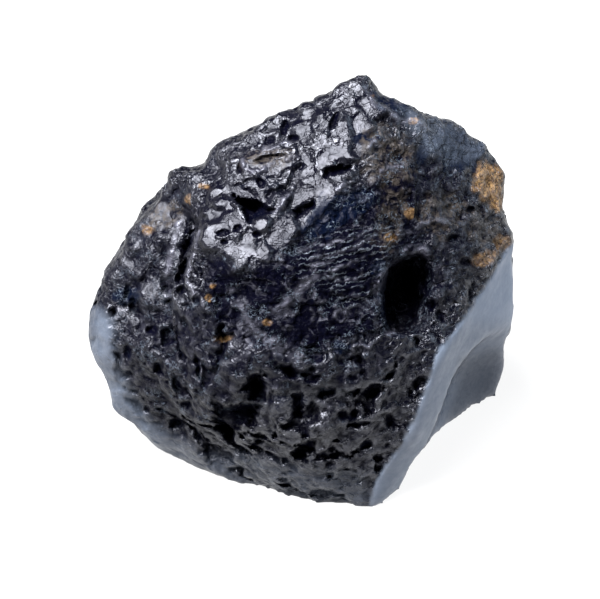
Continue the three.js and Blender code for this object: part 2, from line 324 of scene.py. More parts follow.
# Where the outline is moved: middle and reach in pixels, way to the right and up in mm.
NUDGES = [
    ((200, 154), 18, (0.15, -0.5)),
    ((285, 110), 24, (0.05, -0.3)),
    ((320, 92), 18, (0.03, -0.35)),
    ((178, 166), 12, (0.05, -0.15)),
    ((385, 91), 18, (-0.2, -0.2)),
    ((425, 118), 18, (0.0, 0.15)),
    ((478, 130), 15, (-0.05, -0.25)),
    ((508, 320), 34, (0.3, 0.0)),
    ((502, 366), 24, (0.45, 0.0)),
    ((455, 424), 26, (0.25, -0.2)),
    ((424, 446), 16, (0.2, -0.1)),
    ((98, 358), 18, (-0.35, 0.0)),
    ((118, 405), 32, (-0.3, -0.2)),
    ((150, 442), 24, (-0.15, -0.4)),
    ((205, 464), 28, (-0.05, -0.3)),
]

# Kinds of relief: big lobes, a middle with small pits only, a lower part full of holes, and
# fine wrinkles.
LOBED_TOP = Region(8, [(186, 215), (190, 165), (250, 105), (345, 70), (372, 90), (385, 130),
                       (365, 165), (345, 186), (303, 228), (275, 262), (235, 275), (200, 258)])
CENTRE = Region(10, [(303, 228), (345, 186), (385, 180), (400, 225), (440, 225), (440, 260),
                     (385, 330), (345, 355), (240, 345), (205, 300), (195, 258), (235, 275),
                     (275, 262)])
SPONGY_FRONT = Region(12, [(60, 300), (165, 280), (205, 300), (240, 345), (345, 355), (385, 335),
                           (440, 325), (450, 338), (431, 372), (380, 480), (370, 540), (60, 540)])
WRINKLED = Region(8, [(300, 244), (345, 232), (385, 226), (402, 224), (400, 240), (380, 262),
                      (368, 300), (376, 318), (340, 302), (330, 285), (298, 275)])

# Where the front has hardly any gloss, where it has little, and the blurred left side.
DULL = Region(10, [(308, 226), (348, 188), (372, 180), (380, 140), (440, 150), (470, 200),
                   (480, 262), (430, 320), (375, 336), (300, 356), (255, 352), (215, 335),
                   (202, 300), (202, 258), (228, 256), (238, 270), (266, 262)])
SHADY = Region(14, [(122, 318), (205, 300), (240, 345), (300, 350), (385, 342), (388, 372),
                    (330, 392), (262, 400), (235, 430), (160, 425), (134, 385)])
LEFT_SIDE = Region(10, [(60, 330), (60, 280), (150, 190), (195, 190), (190, 230), (180, 290),
                        (150, 320)])

# Where the stone is painted paler: a painted glare on the crown's right slope, and a painted reflection
# of the floor along the foot.
SLOPE_PAINTED_GLARE = Region(8, [(402, 108), (430, 116), (470, 126), (500, 150), (484, 163), (452, 162),
                        (424, 152), (410, 130)])
FOOT_PAINTED_REFLECTION = Region(9, [(176, 452), (236, 452), (300, 468), (366, 474), (372, 520), (170, 520)])

# Where the picture is sharp, so that the mesh is finest.
FOCUS = Region(1, [(180, 300), (186, 190), (245, 150), (335, 100), (365, 90), (400, 130),
                   (425, 215), (440, 320), (385, 350), (290, 365), (225, 350)])

# Deep holes: outline and depth in mm.
HOLES = [
    # the crown's three
    ([(231, 192), (239, 207), (244, 216), (251, 224), (259, 220), (270, 214), (274, 209),
      (264, 204), (257, 200), (247, 199), (237, 196)], 1.0),
    ([(295, 211), (304, 204), (313, 200), (316, 205), (308, 213), (297, 217)], 0.6),
    ([(322, 171), (331, 166), (344, 164), (353, 165), (352, 171), (345, 173), (334, 175),
      (326, 178)], 0.6),
    # the mouth of the great cavity
    ([(384, 291), (386, 280), (390, 268), (397, 261), (407, 257), (414, 261), (413, 271),
      (420, 280), (418, 292), (424, 303), (418, 314), (409, 327), (397, 330), (389, 321),
      (384, 306)], 1.0),
    # the lower front
    ([(249, 376), (254, 373), (261, 374), (265, 384), (267, 402), (258, 403), (250, 398)], 0.8),
    ([(293, 395), (302, 394), (304, 406), (302, 419), (293, 417)], 0.7),
    ([(213, 402), (226, 405), (246, 404), (262, 404), (258, 414), (246, 424), (236, 432),
      (229, 444), (220, 432), (214, 418)], 1.0),
    ([(291, 454), (297, 444), (309, 438), (316, 441), (313, 450), (304, 458), (294, 460)], 0.8),
    ([(249, 447), (257, 437), (264, 435), (263, 443), (255, 450)], 0.6),
    ([(280, 364), (291, 368), (299, 374), (297, 381), (288, 378)], 0.6),
    ([(300, 371), (314, 373), (322, 376), (316, 383), (303, 384)], 0.6),
    ([(313, 396), (322, 389), (336, 387), (335, 396), (322, 399)], 0.6),
    ([(266, 361), (278, 360), (278, 366), (268, 366)], 0.3),
    ([(211, 349), (224, 349), (222, 358), (221, 370), (216, 368), (215, 358)], 0.45),
    ([(213, 338), (222, 331), (235, 332), (236, 338), (224, 341)], 0.4),
    ([(303, 346), (318, 343), (326, 352), (322, 366), (310, 362)], 0.3),
    ([(348, 376), (360, 374), (361, 382), (351, 385)], 0.35),
    # the crevice on the left
    ([(194, 226), (193, 240), (189, 256), (184, 272), (179, 284), (175, 284), (177, 268),
      (181, 252), (186, 236), (190, 227)], 0.9),
    # by the foot
    ([(322, 461), (334, 458), (333, 468), (324, 469)], 0.35),
]

# Small pits: middle, half width and half height, how far the right end is lifted, depth in mm.
PITS = [
    ((257, 234), (4, 3), 0, 0.25),
    ((285, 127), (4, 9), -20, 0.3),
    ((334, 121), (3.5, 10), -25, 0.35),
    ((224, 233), (7, 3.5), 12, 0.3),
    ((237, 228), (4, 3), 30, 0.25),
    ((224, 242), (3, 2.5), 0, 0.2),
    ((261, 183), (4, 5), 30, 0.25),
    ((294, 138), (6, 3), 0, 0.25),
    ((270, 140), (6, 4), 20, 0.2),
    ((262, 160), (9, 2.5), 5, 0.3),
    ((272, 156), (14, 1.8), 6, 0.3),
    ((240, 167), (3, 6), 0, 0.25),
    ((397, 156), (7, 6), 0, 0.2),
    ((470, 210), (5, 4), 0, 0.3),
    ((447, 208), (6, 4), 30, 0.25),
    ((428, 196), (5, 4), 0, 0.2),
    ((452, 238), (7, 4), 20, 0.25),
    ((466, 262), (6, 5), 0, 0.25),
    ((440, 316), (5, 7), 20, 0.25),
    ((427, 283), (6, 12), 10, 0.4),
    ((431, 306), (5, 6), 0, 0.3),
    ((196, 300), (4, 5), 0, 0.2),
    ((153, 330), (6, 5), 20, 0.25),
    ((128, 352), (4, 8), 0, 0.25),
    ((186, 404), (6, 4), 0, 0.3),
    ((352, 416), (5, 8), -20, 0.3),
    ((373, 393), (9, 6), 30, 0.4),
    ((285, 461), (4, 4), 0, 0.3),
    ((306, 461), (4, 3), 0, 0.3),
    ((343, 415), (6, 5), 0, 0.35),
    ((358, 404), (5, 4), 0, 0.3),
    ((390, 420), (5, 7), 0, 0.3),
    ((366, 445), (7, 4), 30, 0.3),
]

# Rounded lumps, given as the small pits are, with their height.
LUMPS = [
    ((222, 232), (19, 20), -20, 0.25),
    ((263, 224), (8, 6), 30, 0.25),
    ((285, 235), (14, 14), 20, 0.3),
    ((238, 387), (12, 17), 0, 0.3),
    ((279, 412), (11, 19), 0, 0.3),
    ((323, 428), (17, 19), 0, 0.25),
    ((195, 440), (16, 14), 0, 0.25),
    ((235, 460), (14, 10), 0, 0.25),
    ((270, 458), (12, 10), 0, 0.2),
    ((214, 413), (4, 4), 0, 0.3),
    ((223, 403), (4, 3), 0, 0.3),
    ((430, 268), (8, 8), 0, 0.25),
    ((440, 295), (8, 9), 0, 0.25),
    ((266, 252), (7, 5), 0, 0.15),
    ((373, 180), (3, 3), 0, 0.12),
    ((164, 211), (10, 8), 30, 0.2),
    ((162, 240), (9, 11), 0, 0.2),
    ((145, 262), (9, 11), 0, 0.2),
    ((148, 294), (9, 9), 0, 0.2),
    ((108, 340), (10, 26), 10, 0.2),
]

# Flat facets: outline, how far they lean to the right and upward of the way to the camera, rise
# in mm. The ones that lean as GLINT does mirror the softbox.
GLINT = (-0.28, 0.38)
FACETS = [
    ([(203, 202), (210, 193), (218, 187), (226, 190), (224, 197), (216, 201), (206, 204)], GLINT, 0.04),
    ([(197, 212), (203, 204), (212, 206), (214, 212), (208, 219), (200, 222), (196, 217)], GLINT, 0.04),
    ([(213, 205), (222, 199), (229, 202), (234, 209), (228, 213), (218, 211)], (-0.1, 0.3), 0.03),
    ([(204, 232), (212, 222), (224, 215), (238, 213), (246, 224), (240, 231), (226, 228),
      (216, 231), (214, 240), (205, 241)], (-0.3, 0.42), 0.04),
    ([(204, 241), (216, 240), (232, 238), (236, 246), (222, 250), (206, 248)], (-0.2, 0.25), 0.02),
    ([(244, 240), (250, 231), (254, 236), (251, 245), (255, 250), (247, 259), (240, 268),
      (233, 270), (236, 262), (235, 254), (240, 247)], GLINT, 0.05),
    ([(259, 250), (264, 246), (270, 251), (266, 257), (261, 255)], GLINT, 0.04),
    ([(271, 230), (276, 223), (286, 219), (296, 221), (299, 228), (292, 236), (285, 245),
      (277, 248), (271, 241)], (-0.15, 0.3), 0.05),
    ([(255, 223), (260, 219), (266, 222), (265, 229), (259, 231)], GLINT, 0.04),
    ([(276, 206), (281, 198), (287, 199), (282, 208), (275, 214), (271, 213)], (-0.2, 0.35), 0.04),
    ([(292, 208), (294, 200), (300, 192), (306, 187), (313, 191), (315, 194), (309, 198),
      (301, 203), (295, 209)], GLINT, 0.05),
    ([(301, 178), (301, 170), (306, 161), (309, 160), (313, 169), (314, 176), (307, 181)], GLINT, 0.05),
    ([(238, 190), (246, 184), (254, 183), (257, 190), (256, 198), (248, 199), (243, 196)],
     (-0.3, 0.45), 0.02),
    ([(258, 192), (264, 189), (269, 192), (268, 200), (262, 203), (258, 198)], (-0.15, 0.35), 0.02),
    ([(303, 231), (310, 222), (317, 214), (325, 206), (331, 197), (334, 188), (327, 190),
      (319, 196), (314, 204), (309, 211), (300, 219)], GLINT, 0.04),
    ([(244, 168), (248, 160), (258, 162), (262, 170), (252, 172)], GLINT, 0.03),
    ([(264, 168), (270, 161), (280, 162), (290, 166), (278, 172), (267, 173)], GLINT, 0.03),
    ([(336, 126), (344, 121), (351, 125), (351, 136), (346, 140), (338, 134)], GLINT, 0.03),
    ([(352, 122), (360, 116), (370, 121), (372, 128), (364, 132), (353, 133)], GLINT, 0.03),
    ([(358, 104), (366, 99), (374, 106), (384, 110), (376, 116), (366, 112)], (-0.2, 0.45), 0.03),
    ([(294, 128), (301, 122), (308, 120), (309, 132), (304, 141), (297, 136)], GLINT, 0.03),
    ([(303, 108), (310, 106), (311, 117), (305, 119)], (-0.4, 0.5), 0.03),
    ([(317, 116), (323, 114), (326, 122), (324, 130), (318, 128)], (-0.4, 0.45), 0.03),
    ([(320, 158), (328, 150), (340, 146), (348, 152), (354, 158), (346, 159), (338, 156),
      (328, 160)], GLINT, 0.03),
    ([(319, 161), (326, 160), (328, 164), (324, 169), (320, 166)], GLINT, 0.03),
    ([(354, 150), (361, 144), (366, 144), (364, 150), (358, 153)], GLINT, 0.02),
    ([(329, 180), (336, 174), (344, 172), (349, 175), (342, 179), (334, 182)], (-0.2, 0.3), 0.03),
    ([(304, 182), (312, 178), (322, 180), (332, 184), (326, 190), (314, 187)], (-0.2, 0.35), 0.02),
    ([(317, 194), (326, 188), (335, 190), (334, 196), (326, 202), (318, 199)], GLINT, 0.03),
    ([(369, 180), (373, 176), (379, 178), (376, 183), (370, 183)], GLINT, 0.02),
    ([(144, 286), (150, 282), (157, 292), (154, 306), (146, 302)], (-0.35, 0.35), 0.03),
    ([(128, 262), (136, 256), (144, 264), (140, 276), (131, 274)], (-0.5, 0.35), 0.03),
    ([(156, 208), (166, 202), (172, 208), (166, 217), (158, 216)], (-0.3, 0.4), 0.03),
    ([(205, 167), (214, 162), (220, 168), (212, 174)], (-0.5, 0.5), 0.02),
    ([(229, 190), (237, 186), (240, 192), (246, 198), (238, 200), (232, 197)], GLINT, 0.02),
    ([(246, 186), (255, 178), (264, 180), (268, 187), (258, 190)], GLINT, 0.02),
    ([(205, 213), (212, 209), (222, 212), (220, 218), (210, 220)], GLINT, 0.02),
    ([(404, 118), (414, 116), (420, 122), (410, 126)], (0.2, 0.4), 0.02),
]

# Grooves (negative) and crests (positive): the line, half width in pixels, height in mm.
STROKES = [
    ([(206, 198), (197, 212), (191, 236), (185, 258), (181, 285), (188, 306)], 4.0, -0.5),
    ([(180, 216), (175, 240), (168, 271), (168, 295)], 3.0, 0.1),
    ([(193, 229), (195, 248)], 2.0, 0.15),
    ([(186, 262), (181, 285), (178, 300)], 2.5, -0.25),
    ([(269, 195), (278, 190), (288, 187), (295, 174), (301, 165)], 2.5, -0.3),
    ([(276, 213), (280, 207), (285, 200), (290, 196)], 3.0, 0.2),
    ([(337, 190), (345, 184), (352, 180)], 2.5, 0.15),
    ([(243, 161), (247, 169), (253, 171), (261, 170), (272, 165)], 2.5, 0.2),
    ([(264, 150), (272, 148), (282, 145), (291, 143)], 2.5, 0.2),
    ([(287, 158), (291, 157), (295, 157)], 3.0, 0.15),
    ([(361, 82), (370, 94), (374, 104), (388, 111), (400, 119), (417, 121), (427, 129)], 2.5, 0.14),
    ([(433, 171), (440, 166), (446, 160)], 2.2, 0.12),
    ([(370, 147), (375, 142), (380, 146)], 2.0, 0.1),
    ([(382, 171), (392, 166), (402, 168)], 2.0, 0.1),
    ([(377, 300), (379, 288), (383, 275), (388, 266), (398, 257), (408, 251), (418, 249), (430, 254)],
     4.5, 0.15),
    ([(232, 296), (240, 305), (246, 312), (250, 320), (262, 334), (275, 345), (290, 353), (300, 362)],
     5.5, 0.02),
    ([(236, 330), (244, 338), (246, 345)], 6.0, 0.02),
    ([(275, 312), (290, 300), (300, 290), (310, 278), (315, 276)], 4.0, 0.02),
    ([(199, 232), (196, 245), (191, 262), (188, 275), (190, 286), (196, 296), (204, 304)], 2.2, 0.12),
    ([(341, 310), (346, 313), (347, 318), (343, 322), (337, 321), (335, 316), (337, 311), (341, 310)],
     1.6, 0.08),
    ([(311, 309), (314, 315), (313, 320)], 1.6, 0.08),
    ([(397, 235), (405, 233), (413, 231), (424, 223), (437, 220), (449, 222)], 2.5, 0.16),
    ([(399, 241), (411, 238), (421, 230), (428, 225), (449, 229)], 2.2, -0.14),
    ([(351, 353), (354, 347), (362, 346), (370, 347), (380, 337), (396, 330)], 2.2, 0.16),
    ([(300, 250), (315, 245), (327, 245), (337, 241), (352, 239), (362, 235), (371, 230)], 1.6, 0.05),
    ([(311, 258), (334, 255), (341, 253), (352, 248), (360, 244), (376, 235)], 1.6, 0.05),
    ([(308, 266), (323, 264), (333, 261)], 1.6, 0.05),
    ([(311, 271), (318, 270), (327, 275), (341, 280), (354, 281), (362, 275)], 1.6, 0.05),
    ([(331, 270), (344, 266), (355, 262), (365, 257), (372, 253)], 1.6, 0.05),
    ([(339, 298), (351, 295), (359, 296), (368, 301), (372, 302)], 1.6, 0.05),
    ([(345, 308), (358, 305), (372, 312)], 1.6, 0.05),
    ([(313, 398), (318, 402), (330, 406)], 2.0, 0.12),
    ([(268, 390), (276, 388)], 2.0, 0.15),
]

# Colours: blue glassy patches, brown film, and ochre crust and grains, given as ovals.
BLUE_PATCHES = [
    ((330, 214), (30, 17), 35),
    ((366, 139), (15, 7), 5),
    ((345, 205), (28, 14), 12),
    ((378, 268), (9, 8), 30),
    ((343, 347), (8, 7), 0),
    ((424, 150), (5, 17), -10),
    ((392, 104), (26, 9), -38),
    ((458, 150), (30, 22), -20),
    ((388, 296), (9, 24), 0),
    ((125, 296), (14, 10), 0),
]
BROWN_PATCHES = [
    ((388, 158), (28, 34), 20),
    ((392, 215), (16, 36), -12),
    ((440, 215), (26, 22), 0),
    ((487, 225), (20, 22), 0),
    ((165, 215), (20, 12), 30),
    ((268, 158), (26, 12), 8),
]
OCHRE_PATCHES = [
    ((489, 182), (16, 22), 10),
    ((498, 203), (9, 9), 0),
    ((414, 123), (5, 3), 0),
]
DULL_GRAINS = [  # small ochre ones, thinly covered
    ((503, 243), (9, 9), 30),
    ((484, 258), (13, 7), 10),
    ((409, 213), (5, 5), 0),
    ((390, 238), (8, 4), 0),
    ((191, 200), (5, 5), 0),
    ((204, 186), (4, 4), 0),
    ((147, 230), (7, 6), 0),
    ((213, 286), (3, 3), 0),
    ((209, 298), (3, 4), 0),
    ((267, 322), (5, 4), 0),
    ((224, 339), (9, 3), 10),
    ((376, 92), (2, 2), 0),
]

STAINS = {"blue": (BLUE_PATCHES, 61), "brown": (BROWN_PATCHES, 63), "ochre": (OCHRE_PATCHES, 65)}
GRAIN_COVER = 0.45  # of the dull grains, 1 for an opaque crust
HIDDEN_COVER = 0.6  # of the stains on the sides that the picture doesn't show
SPILL = 12  # passes of blur that bring a mask over from the front to the other sides

# mm, where the part of the smooth face's hollow that the picture doesn't show begins and ends
ROOF_X, ROOF_Y, ROOF_Z = (4.0, 5.0), (0.8, 1.6), (7.0, 8.0)
FOOT = 0.8  # mm, height over which small relief grows from nothing at the base


def stain(points, x, y, ovals, seed):
    """1 in the ovals, with ragged rims."""
    ragged = 0.35 * perlin(points, 0.5, seed) + 0.2 * perlin(points, 0.2, seed + 1)
    total = np.zeros(len(points))
    for place, half, turn in ovals:
        reach = oval(x, y, place, half, turn) + ragged
        total = np.maximum(total, 1 - smoothstep(0.7, 1.15, reach))
    return total


def hollow_roof(points, front):
    """1 in the part of the smooth face's hollow that the picture doesn't show."""
    x, y, z = points.T
    ragged = 0.5 * perlin(points, 1.2, seed=75)
    behind = smoothstep(*ROOF_X, x) * (1 - smoothstep(*ROOF_Y, y + ragged))
    return (1 - front) * behind * (1 - smoothstep(*ROOF_Z, z))


def spilled(near, values, front):
    """The values, blurred on the sides that the picture doesn't show."""
    return values * front + near.smooth(values, SPILL) * (1 - front)


def above_foot(points):
    """0 at the base, 1 from a little above it, so that the foot keeps its outline."""
    return smoothstep(0.0, FOOT, points[:, 2])


def nudged(points, x, y):
    """The points with the outline moved to where the picture has it."""
    for (middle_x, middle_y), reach, (right, up) in NUDGES:
        share = np.exp(-((x - middle_x) ** 2 + (y - middle_y) ** 2) / reach**2)
        points = points + share[:, None] * (right * RIGHT + up * UP)
    return points


def relief(points, x, y, front, calm):
    """How far the surface is lifted along its normal, and pushed in, in mm."""
    top = front * inside(x, y, LOBED_TOP)
    centre = front * inside(x, y, CENTRE)
    spongy = front * inside(x, y, SPONGY_FRONT)
    hidden = 1 - front
    rough = 1 - calm

    melted = warped(points, 1.3, seed=3, amount=0.35)
    ragged = warped(points, 0.4, seed=23, amount=0.10)
    facing = np.array([0.1, -0.25, 0.0]) * top[:, None]
    swell = fractal(points, 2.4, seed=1, octaves=2)
    lobes = pillows(melted, 1.35, seed=5, lean=0.9, bulge=0.7, crease=20, fall=1.4 * facing)
    facets = pillows(ragged, 0.66, seed=6, lean=1.4, bulge=0.4, crease=30, fall=-1.2 * facing)
    lift = (0.02 + 0.04 * rough) * swell
    lift += rough * (0.20 + 0.10 * top + 0.06 * spongy) * lobes
    lift -= rough * (0.02 + 0.07 * front) * facets
    crests = ridged(ragged, 0.5, seed=31)
    lift += rough * 0.05 * (front - 0.7 * np.maximum(top, spongy)) * crests
    lift -= top * (lift * top).sum() / top.sum()

    holes = fractal(warped(points, 0.9, seed=43, amount=0.35), 1.3, seed=45, octaves=3, keep=0.6)
    push = rough * (0.6 * spongy + 0.25 * hidden) * smoothstep(0.16, 0.6, holes)
    pits = fractal(warped(points, 0.4, seed=47, amount=0.15), 0.55, seed=49, octaves=2, keep=0.6)
    pit_depth = 0.12 * spongy + 0.10 * centre + 0.06 * hidden
    push += rough * pit_depth * smoothstep(0.25, 0.6, pits)
    return lift, push


def lumps(x, y, wander):
    """How far the lumps rise, in mm."""
    rise = np.zeros(len(x))
    for place, half, turn, height in LUMPS:
        reach = oval(x, y, place, half, turn) + 0.25 * wander
        rise += height * np.clip(1 - reach**2, 0, 1)
    return rise


def faceted(points, x, y, front, wander, rise):
    """The rise with the facets cut into it, and a mask of them."""
    right, up, towards = points @ RIGHT, points @ UP, points @ TOWARDS
    uneven = 0.05 * fractal(points, 0.9, seed=59, octaves=3)
    flat = np.zeros(len(points))
    for outline, (lean_right, lean_up), height in FACETS:
        depth = depth_inside(x, y, outline) + 2.2 * wander
        share = 0.92 * front * smoothstep(-6.5, 1.0, depth)
        slant = towards + rise + lean_right * right + lean_up * up + uneven
        level = (slant * share).sum() / share.sum() + height
        rise = rise + share * (level - slant)
        flat = np.maximum(flat, share)
    return rise, flat


def strokes(points, x, y, front, wander):
    """How far the grooves and crests sink and rise, in mm, and a mask of the crests painted paler,
    partly wear and partly painted highlight.
    """
    stray_x = x + 2.0 * wander
    stray_y = y + 2.5 * fractal(points, 0.5, seed=55, octaves=2)
    broken = 0.35 + 0.65 * smoothstep(-0.35, 0.25, fractal(points, 0.7, seed=58, octaves=2))
    rise = np.zeros(len(points))
    crest_wear_and_painted_glint = np.zeros(len(points))
    for line, half, height in STROKES:
        away = line_distance(stray_x, stray_y, line) / half
        share = broken * front * np.exp(-(away**2))
        rise += height * share
        # Crests painted paler: partly wear, partly painted highlight.
        crest_wear_and_painted_glint = np.maximum(crest_wear_and_painted_glint, share * (height > 0) * smoothstep(-0.5, 0.1, wander))
    return rise, crest_wear_and_painted_glint


def voids(points, x, y, front, wander):
    """How deep the holes and pits are, in mm, and a mask of them."""
    ragged = 2.6 * wander + 2.0 * perlin(points, 0.2, seed=57)
    depth = np.zeros(len(points))
    void = np.zeros(len(points))
    for outline, deepest in HOLES:
        share = front * smoothstep(-1.0, 4.0, depth_inside(x, y, outline) + ragged)
        depth += deepest * share
        void = np.maximum(void, share)
    for place, half, turn, deepest in PITS:
        reach = oval(x, y, place, half, turn) + 0.2 * wander
        share = front * (1 - smoothstep(0.45, 1.2, reach))
        depth += deepest * share
        void = np.maximum(void, share)
    return depth, void


def marked(points, front):
    """The points with the front's own lumps, facets, lines, holes and pits, all of which reach towards
    the camera or away from it, and masks of what is flat, of the crests painted paler (wear and painted
    highlight) and of what is void."""
    x, y = in_picture(points)
    wander = perlin(points, 0.5, seed=51) + 0.5 * perlin(points, 0.22, seed=52)
    rise, flat = faceted(points, x, y, front, wander, front * lumps(x, y, wander))
    stroke, crest_wear_and_painted_glint = strokes(points, x, y, front, wander)
    depth, void = voids(points, x, y, front, wander)
    rise = (rise + stroke - depth) * above_foot(points)
    return points + rise[:, None] * TOWARDS, {"flat": flat, "crest_wear_and_painted_glint": crest_wear_and_painted_glint, "void": void}


def frost_and_sheen_share(points, x, y, front, smooth_face, hollow, rim):
    """How much of the pale colour lies on the smooth face, its hollow, the rim and the two patches,
    from 0 to 1: partly frost, partly painted reflection of the floor and painted glare, with painted
    shade in the hollow.
    """
    # The hollow and the lower part of the face get less of the pale colour: painted shade.
    shaded = np.maximum(0.6 * inside(x, y, HOLLOW), 0.3 * inside(x, y, SHADED_FACE))
    # The rim is painted paler left of its middle, fading to the right and to the outline: a painted
    # reflection of the floor.
    rim_painted_sheen = 0.16 + 0.24 * smoothstep(88, 103, x) - 0.22 * smoothstep(150, 210, x)
    # Painted glare on the slope and painted reflection of the floor at the foot.
    painted_glare_and_reflection = np.maximum(0.16 * inside(x, y, SLOPE_PAINTED_GLARE), 0.12 * inside(x, y, FOOT_PAINTED_REFLECTION))
    uneven = 1 + 0.6 * fractal(points, 0.8, seed=93, octaves=3)
    parts = [smooth_face * (1 - shaded), 0.4 * hollow, rim * rim_painted_sheen, front * painted_glare_and_reflection * uneven]
    return np.maximum.reduce(parts)


def dullness(points, x, y, front):
    """1 where the front has no gloss."""
    right_part = smoothstep(400, 440, x)
    parts = [
        (1 - 0.35 * right_part) * inside(x, y, DULL),
        0.65 * inside(x, y, SHADY),
        0.35 * inside(x, y, LEFT_SIDE),
        0.9 * stain(points, x, y, *STAINS["blue"]),
    ]
    return front * np.maximum.reduce(parts)


def graininess(x, y, front):
    """1 where the surface is all small chips, less on lobes, among holes and on the left."""
    larger_forms = inside(x, y, LOBED_TOP) + inside(x, y, SPONGY_FRONT) + inside(x, y, LEFT_SIDE)
    return 1 - 0.8 * front * np.minimum(larger_forms, 1)


def stain_masks(near, points, x, y, front):
    """The stains by name. The sides that the picture doesn't show have their own."""
    masks = {}
    for name, (ovals, seed) in STAINS.items():
        seen = stain(points, x, y, ovals, seed)
        if name == "ochre":
            grains = stain(points, x, y, DULL_GRAINS, seed + 2)
            seen = np.maximum(seen, GRAIN_COVER * grains)
        unseen = perlin(points, 3.2, seed + 7) + 0.25 * fractal(points, 0.9, seed + 8, octaves=3)
        unseen = HIDDEN_COVER * smoothstep(0.45, 0.7, unseen)
        masks[name] = spilled(near, np.where(front > 0.5, seen, unseen), front)
    return masks


def crest_mask(near, points, x, y, front, normals, flat):
    """1 on what stands out and 0 in the creases. The facets have a tone of their own."""
    out = ((points - near.smooth(points, passes=8)) * normals).sum(1) / near.spacing(points)
    crest = smoothstep(-0.4, 0.6, out)
    crest = np.maximum(crest, 0.27 * front * inside(x, y, LOBED_TOP))
    tone = 0.30 + 0.24 * perlin(points, 1.1, seed=91)
    return crest + (tone - crest) * flat


def smoothed(near, points, passes):
    """The points smoothed, but hardly at the sharp edge and not at all in the base."""
    x, y = in_picture(points)
    keen = 1 - smoothstep(EDGE_KEPT, EDGE_FREE, line_distance(x, y, SHARP_EDGE))
    in_base = points[:, 2] < BASE_REACH
    return near.smooth(points, passes, np.where(in_base, 0, 0.5 * (1 - 0.8 * keen)))


def refine_front(mesh):
    """Smooths the mesh, makes it finer in front, and stores which points are in front."""
    points = points_of(mesh)
    near = Neighbours(mesh)
    points = smoothed(near, points, passes=5)
    put_points(mesh, points)
    front = near.smooth(seen_from_camera(mesh, points), passes=3)
    put_values(mesh, "front", front)
    x, y = in_picture(points)
    plain = inside(x, y, SMOOTH_FACE) * (line_distance(x, y, SHARP_EDGE) > EDGE_FINE)
    refine(mesh, front * (1 - plain) > 0.3)
    x, y = in_picture(points_of(mesh))
    refine(mesh, values_of(mesh, "front") * inside(x, y, FOCUS) > 0.5)


def build_stone():
    """The stone as one object. Its masks are point attributes, which the material reads."""
    stone = remeshed(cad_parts["sapphire"])
    mesh = stone.data
    refine_front(mesh)
    near = Neighbours(mesh)
    front = values_of(mesh, "front")
    points = points_of(mesh)
    in_base = points[:, 2] < BASE_REACH
    x, y = in_picture(points)
    points = smoothed(near, points, passes=2)

    smooth_face = front * inside(x, y, SMOOTH_FACE)
    hollow = hollow_roof(points, front)
    rim = front * inside(x, y, SMOOTH_RIM_PAINTED_SHEEN)
    calm = np.maximum.reduce([smooth_face, hollow, 0.75 * rim])
    wander = (warped(points, 0.6, seed=71, amount=0.09) - points) * (1 - calm)[:, None]
    points = np.where(in_base[:, None], points, points + wander)
    put_points(mesh, points)
    normals = near.smooth(array_of(mesh.vertex_normals, "vector", 3), passes=4)

    # Pale colour: partly frost, partly painted reflection and glare, with painted shade in the hollow.
    frost_and_painted_sheen = frost_and_sheen_share(points, x, y, front, smooth_face, hollow, rim)
    masks = stain_masks(near, points, x, y, front)
    masks["frost_and_painted_sheen"] = spilled(near, frost_and_painted_sheen, front)
    masks["calm"] = spilled(near, calm, front)
    masks["wrinkled"] = front * inside(x, y, WRINKLED)
    masks["dull"] = dullness(points, x, y, front)
    masks["grainy"] = graininess(x, y, front)

    lift, push = relief(points, x, y, front, calm)
    lift -= lift.mean()
    points = nudged(points + normals * lift[:, None], x, y)
    inward = np.where(front[:, None] > 0.5, -TOWARDS, -normals)
    push *= above_foot(points)
    points, marks = marked(points + inward * push[:, None], front)
    points[in_base, 2] = 0
    points[:, 2] = np.maximum(points[:, 2], 0)
    put_points(mesh, points)

    masks |= marks
    masks["crest"] = crest_mask(near, points, x, y, front, normals, marks["flat"])
    for name, mask in masks.items():
        put_values(mesh, name, mask)
    for polygon in mesh.polygons:
        polygon.use_smooth = True
    return stone


# ---------------- materials


